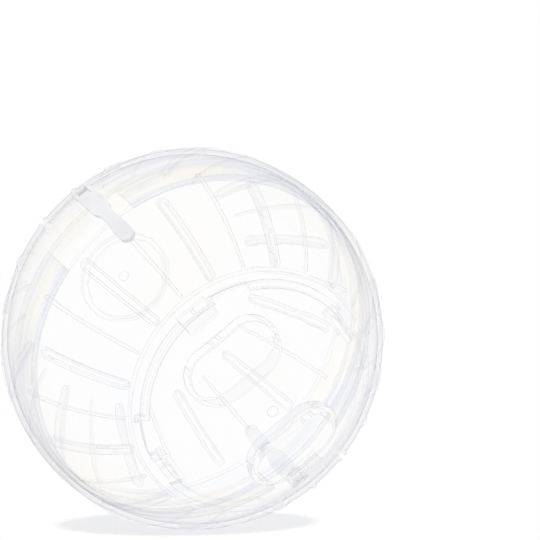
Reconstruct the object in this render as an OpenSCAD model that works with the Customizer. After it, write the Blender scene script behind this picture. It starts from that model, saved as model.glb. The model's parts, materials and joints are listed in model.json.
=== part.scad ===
// Hamster ball: two clear half shells that meet at the equator, a twist-lock door
// on the front pole and two grey clips that hold the halves together.
// The origin is the ball's centre, the door faces -Y and +Z is up.

/* [Ball] */
// Outer diameter of the closed ball
ball_d = 120; // [100:1:200]
// Thickness of both half shells
wall = 1.6; // [1.2:0.1:3]

/* [Equator] */
// Latitude of the raised ring that ends the smooth band, in degrees
ring_latitude = 13.6; // [8:0.2:16]
// Width of the raised ring along the surface
ring_w = 1.4; // [0.8:0.1:3]
// Length of the inner lip that centres the front shell on the back shell
lip_length = 10.8; // [4:0.2:13]
// Thickness of the inner lip
lip_wall = 1.3; // [0.8:0.1:2]
// Running gap between the lip and the front shell
lip_gap = 0.3; // [0.1:0.05:0.6]
// Where the lip stops beside each clip, in degrees around the axis
lip_break_start_angle = 22; // [10:1:26]
// Where the lip starts again past each clip, in degrees around the axis
lip_break_end_angle = 50; // [36:1:60]

/* [Vents and ribs] */
// Number of vents in each half, with a rib between each two
vent_count = 12; // [12:12:24]
// Latitude where a vent's band end is centred, in degrees
vent_low_latitude = 18.2; // [17:0.2:25]
// Distance from the bead to the centre of a vent's pole end
vent_pole_gap = 1.8; // [1.7:0.1:4]
// Clear width of a vent at its band end
vent_low_w = 1.9; // [1:0.1:4]
// Clear width of a vent at its pole end
vent_high_w = 1.4; // [1:0.1:3]
// Width of the rim around a vent
vent_rim_w = 0.85; // [0.5:0.05:1.5]
// Height of the rim around a vent
vent_rim_h = 0.5; // [0.3:0.1:1.5]
// Latitude where the ribs start on the band, in degrees
rib_low_latitude = 10.8; // [10:0.2:20]
// Distance from the bead to the ribs' pole ends
rib_pole_gap = 1; // [0.6:0.1:3]
// Width of a rib at its band end
rib_low_w = 1.2; // [0.8:0.1:2]
// Width of a rib at its pole end
rib_high_w = 0.9; // [0.6:0.1:2]
// Height of a rib
rib_h = 0.6; // [0.3:0.1:1]

/* [Door opening] */
// Diameter of the round opening in the front shell
opening_d = 68.6; // [60:0.2:72]
// Distance from the door's rim to the middle of the bead around it
bead_gap = 2.3; // [1:0.1:3]
// Thickness of the bead around the door
bead_w = 1.1; // [0.6:0.1:2]
// Height and width of the two locating ticks beside the bead
tick_w = 0.8; // [0.5:0.1:1.5]

/* [Door] */
// Lap of the door's rim over the edge of the opening
door_lap = 2.6; // [2.4:0.1:4]
// Thickness of the door
door_wall = 1.6; // [1.2:0.1:3]
// Gap between the door and the shell that it turns on
door_gap = 0.3; // [0.2:0.05:0.6]
// Diameter of the moulding dimple at the door's crown
dimple_d = 3.4; // [2:0.1:5]
// Depth of the moulding dimple
dimple_h = 0.4; // [0.2:0.1:0.8]

/* [Finger wells] */
// Length of each finger well
well_l = 29; // [24:0.5:34]
// Width of each finger well
well_w = 15.4; // [12:0.2:16]
// Distance from the ball's axis to the middle of each finger well
well_offset = 18.7; // [17:0.1:20]
// Depth of a well's floor below the door's crown
well_depth = 7.7; // [6.5:0.1:9]
// Thickness of a well's sides and floor
well_wall = 1.4; // [1:0.1:2]

/* [Bayonet] */
// Width of each bayonet foot
lug_w = 10.4; // [8:0.2:12]
// Thickness of the leg that carries a foot
leg_t = 1.5; // [1:0.1:2.5]
// Gap between a leg and the edge of the opening
leg_gap = 1.1; // [0.8:0.1:2]
// Reach of a foot beyond its leg
foot_reach = 2.5; // [2:0.1:3]
// Thickness of a foot
foot_t = 1.4; // [1:0.1:2]
// Thickness of the rib that parts a foot in two
foot_rib_t = 0.8; // [0.6:0.1:1.5]
// Turn from locked to unlocked, in degrees
unlock_angle = 20; // [20:1:24]
// Width of the notch that lets a foot in, in degrees
notch_angle = 19; // [19:0.5:22]
// Thickness of the stop at the end of a notch
stop_t = 0.9; // [0.6:0.1:1.5]

/* [Clips] */
// Width of a clip over the band
clip_w = 6; // [5:0.1:8]
// Width of a clip at its neck over the ring
clip_neck_w = 4; // [3:0.1:5]
// Width of a clip's thumb paddle
clip_paddle_w = 4.9; // [4:0.1:6]
// Thickness of a clip
clip_t = 1.2; // [1:0.1:1.8]
// Gap between a closed clip and the ring under it
clip_gap = 0.3; // [0.2:0.05:0.5]
// Latitude of a clip's hinge pin, in degrees past the equator
hinge_latitude = 8.3; // [7:0.1:9]
// Latitude of a clip's tip, in degrees past the equator on the far half
tip_latitude = 24.8; // [22:0.1:26]
// Width of the shell's hinge knuckle
knuckle_w = 3.3; // [2.5:0.1:4]
// Side play between the knuckle and the clip's legs
knuckle_play = 0.15; // [0.1:0.05:0.3]
// Diameter of the hinge barrels
barrel_d = 2.7; // [2.4:0.1:3.5]
// Diameter of a clip's hinge pin
pin_d = 1.5; // [1.2:0.1:2]
// Radial play of the pin in its bore
pin_play = 0.05; // [0.02:0.01:0.08]
// Length of the catch under a clip, past the ring
catch_l = 1.4; // [0.8:0.1:2]

/* [Parking foot] */
// Diameter of the flat foot on the back pole
base_d = 31; // [24:0.5:36]
// Height of the foot's face above the pole
base_h = 0.4; // [0.2:0.1:1]

/* [Hidden] */
$fn = 96;

ball_r = ball_d / 2;
inner_r = ball_r - wall;
// Extra length of every cut past the faces that it goes through
overrun = wall;
// A span that reaches past the whole ball
reach = ball_d;

// Angles around the axis are counter-clockwise from the top, seen from the door
upper_clip_angle = 30;
lower_clip_angle = upper_clip_angle + 180;
lug_count = 4;

door_d = opening_d + 2 * door_lap;
bead_d = door_d + 2 * bead_gap;
vent_high_latitude = acos((bead_d / 2 + vent_pole_gap) / ball_r);
rib_high_latitude = acos((bead_d / 2 + rib_pole_gap) / ball_r);
door_inner_r = ball_r + door_gap;
door_outer_r = door_inner_r + door_wall;
well_floor = door_outer_r - well_depth;

// Places of the bayonet, from the ball's centre
leg_face_r = opening_d / 2 - leg_gap;
foot_tip_r = leg_face_r + foot_reach;
foot_sphere_r = inner_r - door_gap;
foot_corner_r = norm([foot_tip_r, lug_w / 2]);
foot_top = sqrt(pow(foot_sphere_r, 2) - pow(foot_corner_r, 2));
foot_bottom = foot_top - foot_t;
notch_r = foot_corner_r + door_gap;
notch_start_angle = -unlock_angle - notch_angle / 2;
notch_end_angle = -unlock_angle + notch_angle / 2;

// Radii of a closed clip, and the place of its hinge
ring_h = ring_w / 2;
clip_inner_r = ball_r + ring_h + clip_gap;
clip_outer_r = clip_inner_r + clip_t;
hinge_r = clip_inner_r + clip_t / 2;
catch_r = ball_r + clip_gap;
// The rib under a clip starts where the clip's tip begins to round
rib_past_clip_latitude = tip_latitude - clip_paddle_w / 2 / ball_r * 180 / PI / 2;

// Shares of a clip's length, from its hinge to its tip, where its outline changes
window_share = 0.18;
shoulder_share = 0.5;
neck_share = 0.58;
neck_end_share = 0.66;
paddle_share = 0.83;
blend_count = 8;

clear_shell = [0.93, 0.95, 0.97, 0.45];
grey_clip = [0.78, 0.79, 0.83];

// Turns the ball's axis from +Z to the door's direction, -Y
module along_door_axis() {
    rotate([90, 0, 0])
        children();
}

// Turns a shape around the ball's axis
module at_angle(angle) {
    rotate([0, 0, angle])
        children();
}

// Turns +Z outwards at a latitude of the meridian above the axis, with +Y towards the equator
module at_latitude(latitude) {
    rotate([latitude - 90, 0, 0])
        children();
}

// The layer between two spheres about the ball's centre
module layer(from_r, to_r) {
    difference() {
        sphere(r = to_r);
        sphere(r = from_r);
    }
}

// A bar that points outwards, tapered along a meridian between two latitudes
module meridian_bar(low_latitude, high_latitude, low_w, high_w) {
    half_span = (high_latitude - low_latitude) / 2;
    low_y = ball_r * sin(half_span);
    bar_start = (ball_r - 3 * wall) * cos(half_span);
    at_latitude((low_latitude + high_latitude) / 2)
        translate([0, 0, bar_start])
            linear_extrude(height = ball_r + 2 * wall - bar_start)
                polygon([
                    [-low_w / 2, low_y],
                    [low_w / 2, low_y],
                    [high_w / 2, -low_y],
                    [-high_w / 2, -low_y]
                ]);
}

// A vent's outline with round ends, widened all round by the same amount
module vent_bar(widening) {
    half_span = (vent_high_latitude - vent_low_latitude) / 2;
    end_y = ball_r * sin(half_span);
    bar_start = (ball_r - 3 * wall) * cos(half_span);
    low_w = vent_low_w + 2 * widening;
    high_w = vent_high_w + 2 * widening;
    meridian_bar(vent_low_latitude, vent_high_latitude, low_w, high_w);
    at_latitude((vent_low_latitude + vent_high_latitude) / 2)
        for (end = [[end_y, low_w], [-end_y, high_w]])
            translate([0, end[0], bar_start])
                cylinder(h = ball_r + 2 * wall - bar_start, d = end[1]);
}

module all_vents(widening) {
    for (i = [0 : vent_count - 1])
        at_angle((i + 0.5) * 360 / vent_count)
            vent_bar(widening);
}

module vent_rims() {
    intersection() {
        layer(inner_r + wall / 2, ball_r + vent_rim_h);
        all_vents(vent_rim_w);
    }
}

// The ribs between the vents; the one past a clip's tip starts beyond the clip
module ribs(tip_angle) {
    intersection() {
        layer(inner_r + wall / 2, ball_r + rib_h);
        for (i = [0 : vent_count - 1]) {
            angle = i * 360 / vent_count;
            start = angle == tip_angle ? rib_past_clip_latitude : rib_low_latitude;
            at_angle(angle)
                meridian_bar(start, rib_high_latitude, rib_low_w, rib_high_w);
        }
    }
}

// A round bead that runs about the axis on the sphere
module bead(bead_r, thickness) {
    rotate_extrude()
        translate([bead_r, sqrt(pow(ball_r, 2) - pow(bead_r, 2))])
            circle(d = thickness);
}

// The shell's half of a clip's hinge, on the meridian above the axis
module knuckle() {
    at_latitude(hinge_latitude)
        translate([-knuckle_w / 2, 0, 0]) {
            translate([0, 0, hinge_r])
                rotate([0, 90, 0])
                    cylinder(h = knuckle_w, d = barrel_d);
            translate([0, -barrel_d / 2, ball_r - wall / 2])
                cube([knuckle_w, barrel_d, hinge_r - ball_r + wall / 2]);
        }
}

module knuckle_bore() {
    at_latitude(hinge_latitude)
        translate([-knuckle_w / 2 - overrun, 0, hinge_r])
            rotate([0, 90, 0])
                cylinder(h = knuckle_w + 2 * overrun, r = pin_d / 2 + pin_play);
}

// One half with its band ring, vents, ribs and hinge knuckle, on the side of +Z
module half_shell(root_angle, tip_angle) {
    difference() {
        union() {
            difference() {
                layer(inner_r, ball_r);
                translate([-reach / 2, -reach / 2, -reach])
                    cube([reach, reach, reach]);
            }
            bead(ball_r * cos(ring_latitude), ring_w);
            vent_rims();
            ribs(tip_angle);
            at_angle(root_angle)
                knuckle();
        }
        all_vents(0);
        at_angle(root_angle)
            knuckle_bore();
    }
}

// A sector about the axis, from one angle to another and out to a radius
module sector(start, end, radius, bottom, top) {
    far = 2 * radius;
    intersection() {
        translate([0, 0, bottom])
            cylinder(h = top - bottom, r = radius);
        translate([0, 0, bottom])
            linear_extrude(height = top - bottom)
                polygon([
                    [0, 0],
                    [-far * sin(start), far * cos(start)],
                    [-far * sin(end), far * cos(end)]
                ]);
    }
}

module for_each_lug() {
    for (i = [0 : lug_count - 1])
        at_angle(upper_clip_angle + i * 360 / lug_count)
            children();
}

// The stops that end the door's turn, on two opposite notches
module stops() {
    intersection() {
        layer(foot_sphere_r - foot_t, inner_r + wall / 2);
        for (i = [1, 3])
            at_angle(upper_clip_angle + i * 360 / lug_count + notch_start_angle)
                translate([-overrun, opening_d / 2 - overrun, foot_bottom])
                    cube([overrun + stop_t, notch_r - opening_d / 2 + overrun + stop_t, ball_r - foot_bottom]);
    }
}

// The ticks that show where the stops are, between the door and the bead
module ticks() {
    intersection() {
        layer(inner_r + wall / 2, ball_r + tick_w / 2);
        for (i = [1, 3])
            at_angle(upper_clip_angle + i * 360 / lug_count + notch_start_angle)
                translate([-tick_w / 2, door_d / 2 + door_gap, 0])
                    cube([tick_w, bead_d / 2 - door_d / 2 - door_gap, reach / 2]);
    }
}

module front_shell() {
    color(clear_shell)
        along_door_axis()
            difference() {
                union() {
                    half_shell(lower_clip_angle, upper_clip_angle);
                    bead(bead_d / 2, bead_w);
                    stops();
                    ticks();
                }
                cylinder(h = reach, d = opening_d);
                for_each_lug()
                    sector(notch_start_angle, notch_end_angle, notch_r, 0, reach);
            }
}

// The lip that reaches into the front shell, with a break beside each clip
module lip() {
    lip_outer_r = inner_r - lip_gap;
    lip_inner_r = lip_outer_r - lip_wall;
    root = 2 * lip_wall;
    difference() {
        union() {
            intersection() {
                layer(lip_inner_r, lip_outer_r);
                cylinder(h = lip_length, r = ball_r);
            }
            intersection() {
                layer(lip_inner_r, inner_r + wall / 2);
                translate([0, 0, -root])
                    cylinder(h = root, r = ball_r);
            }
        }
        for (angle = [0, 180])
            at_angle(angle)
                sector(lip_break_start_angle, lip_break_end_angle, ball_r, -root - overrun, lip_length + overrun);
    }
}

// The flat foot on the back pole
module parking_foot() {
    cylinder(h = ball_r + base_h, d = base_d);
}

module parking_foot_hollow() {
    cylinder(h = ball_r + base_h - wall, d = base_d - 2 * wall);
}

module back_shell() {
    color(clear_shell)
        along_door_axis() {
            lip();
            mirror([0, 0, 1])
                difference() {
                    union() {
                        half_shell(upper_clip_angle, lower_clip_angle);
                        parking_foot();
                    }
                    sphere(r = inner_r);
                    parking_foot_hollow();
                    translate([0, 0, ball_r + base_h - dimple_h])
                        cylinder(h = dimple_h + overrun, d = dimple_d);
                }
        }
}

// A finger well's outline, widened all round by the same amount, from one height up
module well(widening, bottom) {
    width = well_w + 2 * widening;
    half_straight = (well_l - well_w) / 2;
    translate([0, well_offset, bottom]) {
        for (side = [-1, 1])
            translate([side * half_straight, 0, 0])
                cylinder(h = reach, d = width);
        translate([-half_straight, -width / 2, 0])
            cube([2 * half_straight, width, reach]);
    }
}

module for_each_well() {
    for (angle = [upper_clip_angle, lower_clip_angle])
        at_angle(angle)
            children();
}

// The domed door with its two wells, before the bayonet windows are cut
module door_cap() {
    intersection() {
        layer(door_inner_r, door_outer_r);
        cylinder(h = reach, d = door_d);
    }
    intersection() {
        sphere(r = door_outer_r - door_wall / 2);
        for_each_well()
            well(well_wall, well_floor - well_wall);
    }
}

// A bayonet foot on its leg, parted in two by a rib
module lug() {
    intersection() {
        sphere(r = door_inner_r + door_wall / 2);
        translate([-lug_w / 2, leg_face_r - leg_t, foot_bottom])
            cube([lug_w, leg_t, reach]);
    }
    intersection() {
        sphere(r = foot_sphere_r);
        union() {
            translate([-lug_w / 2, leg_face_r - leg_t, foot_bottom])
                cube([lug_w, leg_t + foot_reach, foot_t]);
            translate([-foot_rib_t / 2, leg_face_r - leg_t, foot_bottom])
                cube([foot_rib_t, leg_t + foot_reach, reach]);
        }
    }
}

// The window over a foot, open at the door's rim
module lug_window() {
    translate([-lug_w / 2, leg_face_r, foot_bottom])
        cube([lug_w, reach, reach]);
}

module door() {
    color(clear_shell)
        along_door_axis() {
            difference() {
                door_cap();
                for_each_well()
                    well(0, well_floor);
                for_each_lug()
                    lug_window();
                translate([0, 0, door_outer_r - dimple_h])
                    cylinder(h = dimple_h + overrun, d = dimple_d);
            }
            for_each_lug()
                lug();
        }
}

// A width between two others that leaves the first and meets the second smoothly
function blend(from_w, to_w, share) = from_w + (to_w - from_w) * (1 - cos(180 * share)) / 2;

// A clip's outline as a bar that points outwards, from its hinge to its tip
module clip_outline() {
    half_span = (tip_latitude + hinge_latitude) / 2;
    half_l = hinge_r * sin(half_span);
    tip_y = clip_paddle_w / 2 - half_l;
    // Distance from the hinge at a share of the length, with the hinge towards +Y
    function along(share) = half_l - share * 2 * half_l;
    bar_start = (ball_r - wall) * cos(half_span);
    bar_h = clip_outer_r + overrun - bar_start;
    side = concat(
        [[clip_w / 2, along(0)]],
        [for (i = [0 : blend_count]) [
            blend(clip_w, clip_neck_w, i / blend_count) / 2,
            along(shoulder_share + (neck_share - shoulder_share) * i / blend_count)
        ]],
        [for (i = [0 : blend_count]) [
            blend(clip_neck_w, clip_paddle_w, i / blend_count) / 2,
            along(neck_end_share + (paddle_share - neck_end_share) * i / blend_count)
        ]],
        [[clip_paddle_w / 2, tip_y]]
    );
    other_side = [for (i = [len(side) - 1 : -1 : 0]) [-side[i][0], side[i][1]]];
    at_latitude((tip_latitude - hinge_latitude) / 2)
        translate([0, 0, bar_start])
            difference() {
                union() {
                    linear_extrude(height = bar_h)
                        polygon(concat(side, other_side));
                    translate([0, tip_y, 0])
                        cylinder(h = bar_h, d = clip_paddle_w);
                }
                translate([-knuckle_w / 2 - knuckle_play, along(window_share), -overrun])
                    cube([knuckle_w + 2 * knuckle_play, reach, bar_h + 2 * overrun]);
            }
}

// A closed clip on the meridian above the axis, hinged behind the equator
module clip() {
    intersection() {
        layer(clip_inner_r, clip_outer_r);
        clip_outline();
    }
    // The catch drops in behind the ring
    intersection() {
        layer(catch_r, clip_inner_r + clip_t / 2);
        at_latitude(ring_latitude)
            translate([-clip_neck_w / 2, -ring_h - clip_gap - catch_l, 0])
                cube([clip_neck_w, catch_l, reach]);
    }
    at_latitude(-hinge_latitude)
        translate([0, 0, hinge_r])
            rotate([0, 90, 0]) {
                cylinder(h = clip_w, d = pin_d, center = true);
                for (side = [-1, 1])
                    translate([0, 0, side * (clip_w + knuckle_w + 2 * knuckle_play) / 4])
                        cylinder(h = (clip_w - knuckle_w) / 2 - knuckle_play, d = barrel_d, center = true);
            }
}

module upper_clip() {
    color(grey_clip)
        along_door_axis()
            at_angle(upper_clip_angle)
                clip();
}

module lower_clip() {
    color(grey_clip)
        along_door_axis()
            at_angle(lower_clip_angle)
                mirror([0, 0, 1])
                    clip();
}

front_shell();
back_shell();
door();
upper_clip();
lower_clip();
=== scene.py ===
"""Looks of a clear hamster ball: plastics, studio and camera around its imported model.

The ball is two clear half shells, a twist-lock door and two grey clips. All lengths
are in metres, in the model's own frame: the origin is the ball's centre, the door
faces -Y and +Z is up.
"""

from __future__ import annotations

import json
import logging
import math
from dataclasses import dataclass, field
from enum import Enum
from typing import Any

import bpy
from mathutils import Matrix, Vector

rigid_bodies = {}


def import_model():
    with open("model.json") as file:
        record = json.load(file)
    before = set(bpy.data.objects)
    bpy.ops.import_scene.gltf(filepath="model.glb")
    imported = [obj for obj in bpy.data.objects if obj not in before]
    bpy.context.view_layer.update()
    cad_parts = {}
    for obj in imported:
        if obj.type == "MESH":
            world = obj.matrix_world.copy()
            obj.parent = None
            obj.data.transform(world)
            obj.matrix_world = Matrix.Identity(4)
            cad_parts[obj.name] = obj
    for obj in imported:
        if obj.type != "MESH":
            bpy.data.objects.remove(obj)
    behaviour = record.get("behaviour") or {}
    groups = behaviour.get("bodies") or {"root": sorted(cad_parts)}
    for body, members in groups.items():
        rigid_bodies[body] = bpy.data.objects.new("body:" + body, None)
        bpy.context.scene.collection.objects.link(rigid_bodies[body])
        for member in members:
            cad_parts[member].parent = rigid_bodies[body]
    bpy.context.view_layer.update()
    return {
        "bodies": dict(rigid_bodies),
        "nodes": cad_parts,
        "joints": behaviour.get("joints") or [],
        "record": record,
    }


LOG = logging.getLogger("hamster_ball")
MM = 0.001
Colour = tuple[float, float, float]
Bounds = tuple[float, float]


def rgba(colour: Colour) -> tuple[float, float, float, float]:
    """Returns the colour with full alpha, as Blender's sockets take it."""
    return (*colour, 1.0)


class Nodes:
    """A short way to fill a material's or world's node tree."""

    def __init__(self, tree: bpy.types.NodeTree) -> None:
        """Empties the tree and keeps it."""
        self.tree = tree
        tree.nodes.clear()

    def add(self, kind: str, **inputs: Any) -> bpy.types.Node:
        """Adds a node.

        Args:
            kind: the node's type, such as ShaderNodeMix.
            inputs: values or output sockets for its inputs, by input name with
                spaces as underscores, or by number as i0, i1 and so on. Names
                that start with set_ are the node's own properties.

        Returns:
            The new node.
        """
        node = self.tree.nodes.new(kind)
        for name, value in inputs.items():
            if name.startswith("set_"):
                setattr(node, name[4:], value)
        for name, value in inputs.items():
            if name.startswith("set_"):
                continue
            if name[0] == "i" and name[1:].isdigit():
                socket = node.inputs[int(name[1:])]
            else:
                socket = node.inputs[name.replace("_", " ")]
            if isinstance(value, bpy.types.NodeSocket):
                self.tree.links.new(value, socket)
            else:
                socket.default_value = value
        return node

    def math(self, operation: str, *values: Any) -> bpy.types.NodeSocket:
        """Returns the output of a Math node on the given values or sockets."""
        inputs = {f"i{i}": value for i, value in enumerate(values)}
        return self.add("ShaderNodeMath", set_operation=operation, **inputs).outputs[0]

    def dot(self, first: Any, second: Any) -> bpy.types.NodeSocket:
        """Returns the dot product of two vectors."""
        node = self.add("ShaderNodeVectorMath", set_operation="DOT_PRODUCT", i0=first, i1=second)
        return node.outputs["Value"]

    def mix_colour(self, share: Any, first: Any, second: Any, blend: str = "MIX") -> bpy.types.NodeSocket:
        """Returns a blend of two colours by the share of the second."""
        node = self.add(
            "ShaderNodeMix", set_data_type="RGBA", set_blend_type=blend, Factor=share, i6=first, i7=second
        )
        return node.outputs[2]

    def ramp(self, value: Any, stops: tuple[tuple[float, Colour], ...]) -> bpy.types.NodeSocket:
        """Returns a colour that follows a value through a row of stops."""
        node = self.add("ShaderNodeValToRGB", Fac=value)
        elements = node.color_ramp.elements
        while len(elements) < len(stops):
            elements.new(1.0)
        for element, (place, colour) in zip(elements, stops):
            element.position = place
            element.color = rgba(colour)
        return node.outputs["Color"]

    def band(self, value: Any, inside: float, outside: float) -> bpy.types.NodeSocket:
        """Returns 1 from the inside bound on and 0 from the outside one on, with a blend between."""
        return self.span(value, (outside, inside), (0.0, 1.0))

    def span(
        self, value: Any, source: Bounds, target: Bounds, interpolation: str = "LINEAR"
    ) -> bpy.types.NodeSocket:
        """Returns the value moved from the source's range to the target's, and held within it."""
        node = self.add(
            "ShaderNodeMapRange",
            set_interpolation_type=interpolation,
            Value=value,
            From_Min=source[0],
            From_Max=source[1],
            To_Min=target[0],
            To_Max=target[1],
        )
        return node.outputs[0]

    def noise(self, size: float, detail: float, seed: Vector) -> bpy.types.NodeSocket:
        """Returns fractal noise that is fixed to the piece.

        Args:
            size: width of its largest features, in metres.
            detail: number of finer octaves.
            seed: shift of the pattern, in metres.

        Returns:
            The noise value, about 0.5 on average.
        """
        place = self.add("ShaderNodeTexCoord").outputs["Object"]
        shifted = self.add("ShaderNodeVectorMath", i0=place, i1=seed).outputs[0]
        return self.add("ShaderNodeTexNoise", Vector=shifted, Scale=1 / size, Detail=detail).outputs[0]


@dataclass(frozen=True)
class ClearPlastic:
    """Clear moulded polystyrene, as it is seen through many layers of a thin-walled ball.

    Colours are those of light that has passed two surfaces. Pairs of bounds name the value
    where a share is 1 and the one where it is 0.

    Attributes:
        name: the material's name.
        face, warm, cool: the plastic itself, and the ends of its broad faint stains.
        warm_stain, cool_stain: bounds of the stain's noise for both ends.
        limb: painted shade, a grey tint by how edge-on a surface is seen, from 0 (face on) to 1.
        limb_depth: number of bounces from which the limb's painted shade is left out.
        skin: bounds between which light begins to pass straight through near the limb.
        seam_half, seam_lean: where light passes the touching faces of the halves straight.
        cream_streak, cool_streak: colours of the streaks along the seam.
        cream_flow, cool_flow: bounds of the streaks' noise for both colours.
        streak_size, streak_stretch, streak_detail: size, slimness and fineness of the streaks.
        streak_half, streak_soft: half width of the streaked belt and its soft edge.
        lip_end, lip_end_place, lip_end_soft: tint, place and soft edge of the inner lip's end.
        wall, wall_lean: painted shade, a grey tint on narrow walls, and bounds of how far a wall leans.
        shade, dim: what shadow rays pass through, and rays that bounced too often.
        ior: refractive index.
        caught_depth: number of bounces after which a ray counts as caught.
        corner, corner_radius, corner_samples: tint, width and sampling of the corner lines, which are
            painted shade.
        corner_bend, corner_fade: bounds of the bend that makes a corner, and of the fade of
            its line towards the limb.
        stain_size: width of the stains.
        ripple_size, ripple_detail, ripple_height, ripple_outside, ripple_fade: the moulded
            ripple, its share on the outside, and the bounds of its fade towards the limb.
        gloss_size, gloss_detail, gloss_noise, roughness: uneven gloss, from one roughness to
            the other.
        seed: shift of all patterns.
    """

    name: str
    face: Colour = (0.993, 0.993, 0.995)
    warm: Colour = (0.995, 0.989, 0.974)
    cool: Colour = (0.984, 0.986, 0.995)
    warm_stain: Bounds = (0.7, 0.52)
    cool_stain: Bounds = (0.3, 0.48)
    # Painted shade: these stops grey the plastic more the more edge-on it is seen.
    limb: tuple[tuple[float, Colour], ...] = (
        (0.38, (1.0, 1.0, 1.0)),
        (0.52, (0.993, 0.99, 0.978)),
        (0.66, (0.983, 0.983, 0.985)),
        (0.8, (0.93, 0.93, 0.94)),
        (0.9, (0.84, 0.84, 0.86)),
        (0.97, (0.66, 0.66, 0.7)),
    )
    limb_depth: int = 2
    skin: Bounds = (0.46, 0.36)
    seam_half: float = 1.5 * MM
    seam_lean: float = 0.9
    cream_streak: Colour = (0.99, 0.978, 0.935)
    cool_streak: Colour = (0.91, 0.92, 0.955)
    cream_flow: Bounds = (0.62, 0.5)
    cool_flow: Bounds = (0.38, 0.5)
    streak_size: float = 4.5 * MM
    streak_stretch: float = 0.12
    streak_detail: float = 2.0
    streak_half: float = 13.5 * MM
    streak_soft: float = 1.5 * MM
    lip_end: Colour = (0.995, 0.995, 0.998)
    lip_end_place: float = -8.6 * MM
    lip_end_soft: float = 0.5 * MM
    # Painted shade: grey on the narrow walls of vents, ribs and edges.
    wall: Colour = (0.935, 0.935, 0.945)
    wall_lean: Bounds = (0.5, 0.85)
    shade: Colour = (0.988, 0.988, 0.989)
    dim: Colour = (0.985, 0.985, 0.987)
    ior: float = 1.12
    caught_depth: int = 6
    # Painted shade: grey lines along the moulded corners, convex and concave.
    corner_radius: float = 0.45 * MM
    corner: Colour = (0.57, 0.57, 0.6)
    corner_samples: int = 4
    corner_bend: Bounds = (0.85, 0.995)
    corner_fade: Bounds = (0.5, 0.72)
    stain_size: float = 45 * MM
    ripple_size: float = 8 * MM
    ripple_detail: float = 1.5
    ripple_height: float = 2.4 * MM
    ripple_outside: float = 0.1
    ripple_fade: Bounds = (0.24, 0.37)
    gloss_size: float = 6 * MM
    gloss_detail: float = 4.0
    gloss_noise: tuple[float, float] = (0.4, 0.75)
    roughness: tuple[float, float] = (0.03, 0.09)
    seed: Vector = field(default_factory=lambda: Vector((0, 0, 0)))

    def material(self) -> bpy.types.Material:
        """Builds the material.

        Returns:
            A glass-like material that lets lamps through, so that it throws only a
            light shadow.
        """
        made = bpy.data.materials.new(self.name)
        made.use_nodes = True
        nodes = Nodes(made.node_tree)
        facing = nodes.add("ShaderNodeLayerWeight", Blend=0.5).outputs["Facing"]
        path = nodes.add("ShaderNodeLightPath").outputs
        side = self._side_share(nodes)
        first = nodes.math("LESS_THAN", path["Ray Depth"], self.limb_depth)
        tint = self._tint(nodes, facing, first, side)
        glass = nodes.add(
            "ShaderNodeBsdfPrincipled",
            Base_Color=tint,
            Roughness=nodes.span(
                nodes.noise(self.gloss_size, self.gloss_detail, self.seed), self.gloss_noise, self.roughness
            ),
            IOR=self.ior,
            Transmission_Weight=1.0,
            Normal=self._ripple(nodes, facing),
        )
        # The skin passes the square root of the same tint, painted shades included.
        skin_tint = nodes.add("ShaderNodeGamma", Color=tint, Gamma=0.5).outputs[0]
        skin = nodes.add("ShaderNodeBsdfTransparent", Color=skin_tint)
        straight = nodes.math("MAXIMUM", nodes.band(facing, *self.skin), self._seam_share(nodes))
        straight = nodes.math("MAXIMUM", straight, side)
        glass = nodes.add("ShaderNodeMixShader", i0=straight, i1=glass.outputs[0], i2=skin.outputs[0])
        caught = nodes.math("GREATER_THAN", path["Ray Depth"], self.caught_depth)
        passing = nodes.math("MAXIMUM", path["Is Shadow Ray"], path["Is Diffuse Ray"])
        passing = nodes.math("MAXIMUM", passing, caught)
        shade = nodes.mix_colour(caught, rgba(self.shade), rgba(self.dim))
        clear = nodes.add("ShaderNodeBsdfTransparent", Color=shade)
        mixed = nodes.add("ShaderNodeMixShader", i0=passing, i1=glass.outputs[0], i2=clear.outputs[0])
        nodes.add("ShaderNodeOutputMaterial", Surface=mixed.outputs[0])
        return made

    def _tint(
        self,
        nodes: Nodes,
        facing: bpy.types.NodeSocket,
        first: bpy.types.NodeSocket,
        side: bpy.types.NodeSocket,
    ) -> bpy.types.NodeSocket:
        """Builds the colour of light that passes the plastic.

        Args:
            nodes: the material's nodes, to which those of the colour are added.
            facing: 0 where the surface faces the view and 1 where it is seen edge on.
            first: 1 for rays that come from the camera with few bounces, otherwise 0.
            side: 1 on narrow walls and 0 on the ball's faces.

        Returns:
            The colour: body, with painted shade at the limb, on the walls and along the corner lines.
        """
        stain = nodes.noise(self.stain_size, 1.0, self.seed)
        body = nodes.mix_colour(nodes.band(stain, *self.warm_stain), rgba(self.face), rgba(self.warm))
        body = nodes.mix_colour(nodes.band(stain, *self.cool_stain), body, rgba(self.cool))
        body = self._seam_streaks(nodes, body)
        # Painted shade at the limb, on rays from the camera with few bounces only.
        limb = nodes.ramp(facing, self.limb)
        tint = nodes.mix_colour(first, body, limb, blend="MULTIPLY")
        # Painted shade on the narrow walls.
        tint = nodes.mix_colour(side, tint, rgba(self.wall))
        # Painted shade lines on the corners, left off the walls and faded towards the limb.
        shown = nodes.math("SUBTRACT", 1.0, side)
        shown = nodes.math("MULTIPLY", shown, nodes.band(facing, *self.corner_fade))
        corner = nodes.math("MULTIPLY", self._corner_shade_share(nodes), shown)
        return nodes.mix_colour(corner, tint, rgba(self.corner))

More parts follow.
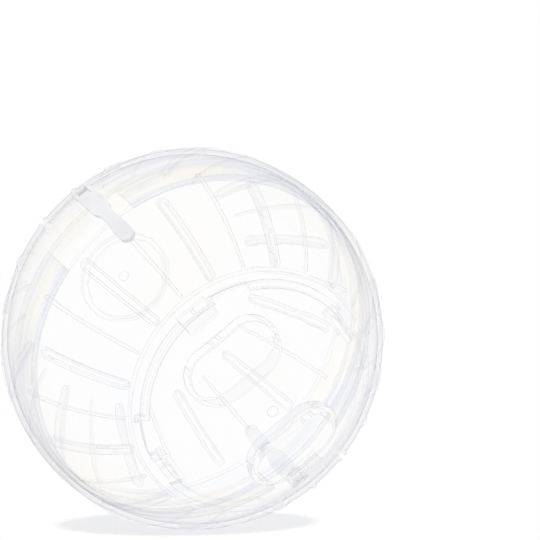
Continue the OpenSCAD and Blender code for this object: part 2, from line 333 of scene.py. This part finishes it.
    def _seam_streaks(self, nodes: Nodes, body: bpy.types.NodeSocket) -> bpy.types.NodeSocket:
        """Lays faint streaks along the seam, and a cooler end on the inner lip.

        Args:
            nodes: the material's nodes, to which those of the streaks are added.
            body: the colour away from the seam.

        Returns:
            The colour with its streaks.
        """
        place = nodes.add("ShaderNodeTexCoord").outputs["Object"]
        along = nodes.add("ShaderNodeSeparateXYZ", Vector=place).outputs["Y"]
        flat = Vector((self.streak_stretch, 1.0, self.streak_stretch))
        drawn = nodes.add("ShaderNodeVectorMath", set_operation="MULTIPLY", i0=place, i1=flat).outputs[0]
        moved = nodes.add("ShaderNodeVectorMath", i0=drawn, i1=self.seed).outputs[0]
        flow = nodes.add(
            "ShaderNodeTexNoise", Vector=moved, Scale=1 / self.streak_size, Detail=self.streak_detail
        ).outputs[0]
        reach = nodes.math("ABSOLUTE", along)
        near = nodes.band(reach, self.streak_half - self.streak_soft, self.streak_half)
        cream = nodes.math("MULTIPLY", near, nodes.band(flow, *self.cream_flow))
        cool = nodes.math("MULTIPLY", near, nodes.band(flow, *self.cool_flow))
        body = nodes.mix_colour(cream, body, rgba(self.cream_streak))
        body = nodes.mix_colour(cool, body, rgba(self.cool_streak))
        end = nodes.band(along, self.lip_end_place - self.lip_end_soft, self.lip_end_place)
        return nodes.mix_colour(end, body, rgba(self.lip_end))

    def _corner_shade_share(self, nodes: Nodes) -> bpy.types.NodeSocket:
        """Returns 1 on the moulded corners, where the painted shade lines go, and 0 away from them.

        Args:
            nodes: the material's nodes, to which those of the share are added.

        Returns:
            The share, from the angle between the true normal and one with rounded corners.
        """
        rounded = nodes.add("ShaderNodeBevel", set_samples=self.corner_samples, Radius=self.corner_radius)
        plain = nodes.add("ShaderNodeNewGeometry").outputs["Normal"]
        return nodes.band(nodes.dot(rounded.outputs[0], plain), *self.corner_bend)

    def _seam_share(self, nodes: Nodes) -> bpy.types.NodeSocket:
        """Returns 1 on the flat faces with which the halves touch at the seam.

        Args:
            nodes: the material's nodes, to which those of the share are added.

        Returns:
            The share; there the light goes straight on from one half to the other.
        """
        place = nodes.add("ShaderNodeTexCoord").outputs
        along = nodes.add("ShaderNodeSeparateXYZ", Vector=place["Object"]).outputs["Y"]
        across = nodes.add("ShaderNodeSeparateXYZ", Vector=place["Normal"]).outputs["Y"]
        near = nodes.math("LESS_THAN", nodes.math("ABSOLUTE", along), self.seam_half)
        flat = nodes.math("GREATER_THAN", nodes.math("ABSOLUTE", across), self.seam_lean)
        return nodes.math("MULTIPLY", near, flat)

    def _ripple(self, nodes: Nodes, facing: bpy.types.NodeSocket) -> bpy.types.NodeSocket:
        """Builds the ripple: full inside the ball, low on its polished outside.

        Args:
            nodes: the material's nodes, to which those of the ripple are added.
            facing: 0 where the surface faces the view and 1 where it is seen edge on; the
                ripple fades before the limb, where it would only break the light up.

        Returns:
            The rippled normal.
        """
        place = nodes.add("ShaderNodeTexCoord").outputs
        outside = nodes.math("GREATER_THAN", nodes.dot(place["Object"], place["Normal"]), 0.0)
        share = nodes.span(outside, (0.0, 1.0), (1.0, self.ripple_outside))
        share = nodes.math("MULTIPLY", share, nodes.band(facing, *self.ripple_fade))
        height = nodes.math("MULTIPLY", share, self.ripple_height)
        wave = nodes.noise(self.ripple_size, self.ripple_detail, self.seed)
        return nodes.add("ShaderNodeBump", Height=wave, Distance=height, Strength=1.0).outputs[0]

    def _side_share(self, nodes: Nodes) -> bpy.types.NodeSocket:
        """Returns 1 on the narrow walls of vents, ribs and edges, and 0 on the ball's faces.

        Args:
            nodes: the material's nodes, to which those of the share are added.

        Returns:
            The share, from the angle between the surface and the ball's radius.
        """
        place = nodes.add("ShaderNodeTexCoord").outputs
        radial = nodes.add("ShaderNodeVectorMath", set_operation="NORMALIZE", i0=place["Object"]).outputs[0]
        lean = nodes.math("ABSOLUTE", nodes.dot(radial, place["Normal"]))
        return nodes.band(lean, *self.wall_lean)


@dataclass(frozen=True)
class GreyPlastic:
    """Light grey moulded plastic with a soft shine, faint clouds and a fine grain."""

    name: str
    light: Colour = (0.8, 0.8, 0.805)
    dark: Colour = (0.75, 0.75, 0.76)
    cloud_size: float = 9 * MM
    cloud_detail: float = 3.0
    cloud_noise: Bounds = (0.65, 0.35)
    grain_size: float = 0.8 * MM
    grain_detail: float = 2.0
    grain_height: float = 0.006 * MM
    grain_strength: float = 0.4
    roughness: tuple[float, float] = (0.28, 0.42)
    ior: float = 1.5

    def material(self) -> bpy.types.Material:
        """Builds the material of the clips."""
        made = bpy.data.materials.new(self.name)
        made.use_nodes = True
        nodes = Nodes(made.node_tree)
        cloud = nodes.noise(self.cloud_size, self.cloud_detail, Vector())
        grain = nodes.noise(self.grain_size, self.grain_detail, Vector())
        bump = nodes.add(
            "ShaderNodeBump", Height=grain, Distance=self.grain_height, Strength=self.grain_strength
        )
        dark_share = nodes.band(cloud, *self.cloud_noise)
        plastic = nodes.add(
            "ShaderNodeBsdfPrincipled",
            Base_Color=nodes.mix_colour(dark_share, rgba(self.light), rgba(self.dark)),
            Roughness=nodes.span(grain, (0.0, 1.0), self.roughness),
            IOR=self.ior,
            Normal=bump.outputs[0],
        )
        nodes.add("ShaderNodeOutputMaterial", Surface=plastic.outputs[0])
        return made


class Finish(Enum):
    """The finishes of the ball's pieces."""

    FRONT = ClearPlastic("front_clear_plastic")
    BACK = ClearPlastic(
        "back_clear_plastic", lip_end=(0.84, 0.87, 0.915), seed=Vector((0.3, 0.1, 0.2))
    )
    # The door's walls get a lighter painted shade.
    DOOR = ClearPlastic(
        "door_clear_plastic", wall=(0.96, 0.96, 0.963), seed=Vector((0.7, 0.4, 0.1))
    )
    UPPER_CLIP = GreyPlastic("upper_clip_grey_plastic")
    # Painted light: the lower clip's grey is lighter than the upper clip's, making up for the light it
    # loses through the shells.
    LOWER_CLIP_PAINTED_LIGHTER = GreyPlastic(
        "lower_clip_grey_plastic_painted_lighter", light=(0.92, 0.92, 0.922), dark=(0.87, 0.87, 0.873)
    )


@dataclass
class MouldedPiece:
    """One moulded piece of the ball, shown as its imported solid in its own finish."""

    node: str
    finish: Finish

    def dress(self, frame: dict[str, Any]) -> None:
        """Gives the piece its material.
        """
        piece = frame["nodes"][self.node]
        made = self.finish.value.material()
        for slot in piece.material_slots:
            slot.material = made
        LOG.info("dressed %s with %s", self.node, made.name)


@dataclass
class Studio:
    """The pale floor, the lamp and the surroundings.

    Attributes:
        floor_z, floor_half, floor_colour: height, half width and colour of the floor.
        shadow_centre, shadow_half, shadow_turn: the oval within which the floor keeps its
            shadow, on the floor below the ball.
        shadow_soft: share of the oval's half width where the shadow starts to fade, and
            where it has ended.
        shadow_lost: how much of the shadow is lost where it is seen through the ball.
        floor_white: brightness of the floor around the oval and in the ball's reflections.
        lamp_width, lamp_length, lamp_height, lamp_power, lamp_turn: the soft lamp above.
        sky_light, sky_dim: the surroundings at the horizon and overhead.
        sky_rise: height of the view between which the one turns into the other.
    """

    floor_z: float = -60 * MM
    floor_half: float = 4.0
    floor_colour: Colour = (0.81, 0.81, 0.81)
    shadow_centre: Vector = field(default_factory=lambda: Vector((-8.6, -6.7, -60.0)) * MM)
    shadow_half: tuple[float, float] = (41.5 * MM, 8.6 * MM)
    shadow_soft: tuple[float, float] = (0.92, 1.08)
    shadow_turn: float = math.radians(-27.0)
    shadow_lost: float = 0.9
    floor_white: float = 1.0
    lamp_width: float = 0.3
    lamp_length: float = 1.4
    lamp_height: float = 0.8
    lamp_power: float = 2.5
    lamp_turn: float = math.radians(-23.0)
    sky_light: Colour = (1.0, 1.0, 1.0)
    sky_dim: Colour = (0.84, 0.845, 0.865)
    sky_rise: tuple[float, float] = (0.1, 0.7)

    def build(self) -> None:
        """Makes the floor, the lamp and the world."""
        self._floor()
        self._lamp()
        self._world()
        LOG.info("built the studio")

    def _floor(self) -> None:
        """Lays the floor, which shows white to the camera and keeps the shadow."""
        mesh = bpy.data.meshes.new("floor")
        half = self.floor_half
        ends = ((-half, -half), (half, -half), (half, half), (-half, half))
        mesh.from_pydata([(x, y, self.floor_z) for x, y in ends], [], [(0, 1, 2, 3)])
        floor = bpy.data.objects.new("floor", mesh)
        bpy.context.scene.collection.objects.link(floor)
        made = bpy.data.materials.new("floor_paper")
        made.use_nodes = True
        nodes = Nodes(made.node_tree)
        paper = nodes.add("ShaderNodeBsdfDiffuse", Color=rgba(self.floor_colour))
        path = nodes.add("ShaderNodeLightPath").outputs
        around = nodes.math("MULTIPLY", path["Is Camera Ray"], self._outside_shadow(nodes))
        white_share = nodes.math("MAXIMUM", path["Is Glossy Ray"], path["Is Transmission Ray"])
        white_share = nodes.math("MAXIMUM", white_share, around)
        through = nodes.math("GREATER_THAN", path["Transparent Depth"], 0.0)
        through = nodes.math("MULTIPLY", through, path["Is Camera Ray"])
        through = nodes.math("MULTIPLY", through, self.shadow_lost)
        white_share = nodes.math("MAXIMUM", white_share, through)
        white = nodes.add("ShaderNodeEmission", Strength=self.floor_white)
        lit = nodes.add("ShaderNodeMixShader", i0=white_share, i1=paper.outputs[0], i2=white.outputs[0])
        under = nodes.add("ShaderNodeBsdfTransparent")
        back = nodes.add("ShaderNodeNewGeometry").outputs["Backfacing"]
        mixed = nodes.add("ShaderNodeMixShader", i0=back, i1=lit.outputs[0], i2=under.outputs[0])
        nodes.add("ShaderNodeOutputMaterial", Surface=mixed.outputs[0])
        mesh.materials.append(made)

    def _outside_shadow(self, nodes: Nodes) -> bpy.types.NodeSocket:
        """Returns 0 within the oval of the shadow below the ball and 1 around it.

        Args:
            nodes: the floor's nodes, to which those of the oval are added.

        Returns:
            The share, soft at the oval's edge.
        """
        place = nodes.add("ShaderNodeTexCoord").outputs["Object"]
        moved = nodes.add("ShaderNodeVectorMath", i0=place, i1=-self.shadow_centre).outputs[0]
        long_way = Vector((math.cos(self.shadow_turn), math.sin(self.shadow_turn), 0.0))
        short_way = Vector((-long_way.y, long_way.x, 0.0))
        squares = []
        for way, half in zip((long_way, short_way), self.shadow_half):
            part = nodes.dot(moved, way / half)
            squares.append(nodes.math("MULTIPLY", part, part))
        reach = nodes.math("SQRT", nodes.math("ADD", *squares))
        return nodes.span(reach, self.shadow_soft, (0.0, 1.0), "SMOOTHSTEP")

    def _lamp(self) -> None:
        """Hangs a long soft lamp over the ball, lengthwise to the view."""
        lamp = bpy.data.lights.new("top_lamp", "AREA")
        lamp.shape = "RECTANGLE"
        lamp.size = self.lamp_width
        lamp.size_y = self.lamp_length
        lamp.energy = self.lamp_power
        holder = bpy.data.objects.new("top_lamp", lamp)
        holder.location = (0.0, 0.0, self.lamp_height)
        holder.rotation_euler = (0.0, 0.0, self.lamp_turn)
        holder.visible_glossy = False
        holder.visible_transmission = False
        bpy.context.scene.collection.objects.link(holder)

    def _world(self) -> None:
        """Sets white behind the object and a sky that dims towards its top."""
        world = bpy.data.worlds.new("studio")
        world.use_nodes = True
        bpy.context.scene.world = world
        nodes = Nodes(world.node_tree)
        direction = nodes.add("ShaderNodeTexCoord").outputs["Generated"]
        up = nodes.add("ShaderNodeSeparateXYZ", Vector=direction).outputs["Z"]
        share = nodes.span(up, self.sky_rise, (0.0, 1.0), "SMOOTHSTEP")
        sky = nodes.mix_colour(share, rgba(self.sky_light), rgba(self.sky_dim))
        camera = nodes.add("ShaderNodeLightPath").outputs["Is Camera Ray"]
        shown = nodes.mix_colour(camera, sky, rgba((1.0, 1.0, 1.0)))
        light = nodes.add("ShaderNodeBackground", Color=shown, Strength=1.0)
        nodes.add("ShaderNodeOutputWorld", Surface=light.outputs[0])


@dataclass
class Viewpoint:
    """The photograph's viewpoint, fitted to the ball's outline and vents."""

    place: Vector = field(default_factory=lambda: Vector((-300.3, -768.7, 359.0)) * MM)
    forward: Vector = field(default_factory=lambda: Vector((0.3632, 0.8516, -0.3779)))
    up: Vector = field(default_factory=lambda: Vector((0.1901, 0.3293, 0.9249)))
    field_of_view: float = math.radians(10.83)
    clip: tuple[float, float] = (0.01, 20.0)

    def build(self) -> None:
        """Makes the camera and gives it to the scene."""
        camera = bpy.data.cameras.new("camera")
        camera.angle = self.field_of_view
        camera.clip_start, camera.clip_end = self.clip
        holder = bpy.data.objects.new("camera", camera)
        bpy.context.scene.collection.objects.link(holder)
        back = -self.forward.normalized()
        right = self.up.cross(back).normalized()
        up = back.cross(right)
        turn = Matrix((right, up, back)).transposed()
        holder.matrix_world = Matrix.Translation(self.place) @ turn.to_4x4()
        bpy.context.scene.camera = holder
        LOG.info("placed the camera")


def set_light_paths() -> None:
    """Lets rays pass all the clear walls that lie behind each other."""
    cycles = bpy.context.scene.cycles
    cycles.max_bounces = 24
    cycles.transmission_bounces = 24
    cycles.transparent_max_bounces = 64
    cycles.glossy_bounces = 24


def main() -> None:
    """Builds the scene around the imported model."""
    logging.basicConfig(level=logging.INFO, format="%(name)s: %(message)s")
    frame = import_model()
    bpy.context.scene.view_settings.view_transform = "Standard"
    Viewpoint().build()
    pieces = [
        MouldedPiece("front_shell", Finish.FRONT),
        MouldedPiece("back_shell", Finish.BACK),
        MouldedPiece("door", Finish.DOOR),
        MouldedPiece("upper_clip", Finish.UPPER_CLIP),
        MouldedPiece("lower_clip", Finish.LOWER_CLIP_PAINTED_LIGHTER),
    ]
    for piece in pieces:
        piece.dress(frame)
    Studio().build()
    set_light_paths()


if __name__ == "__main__":
    main()
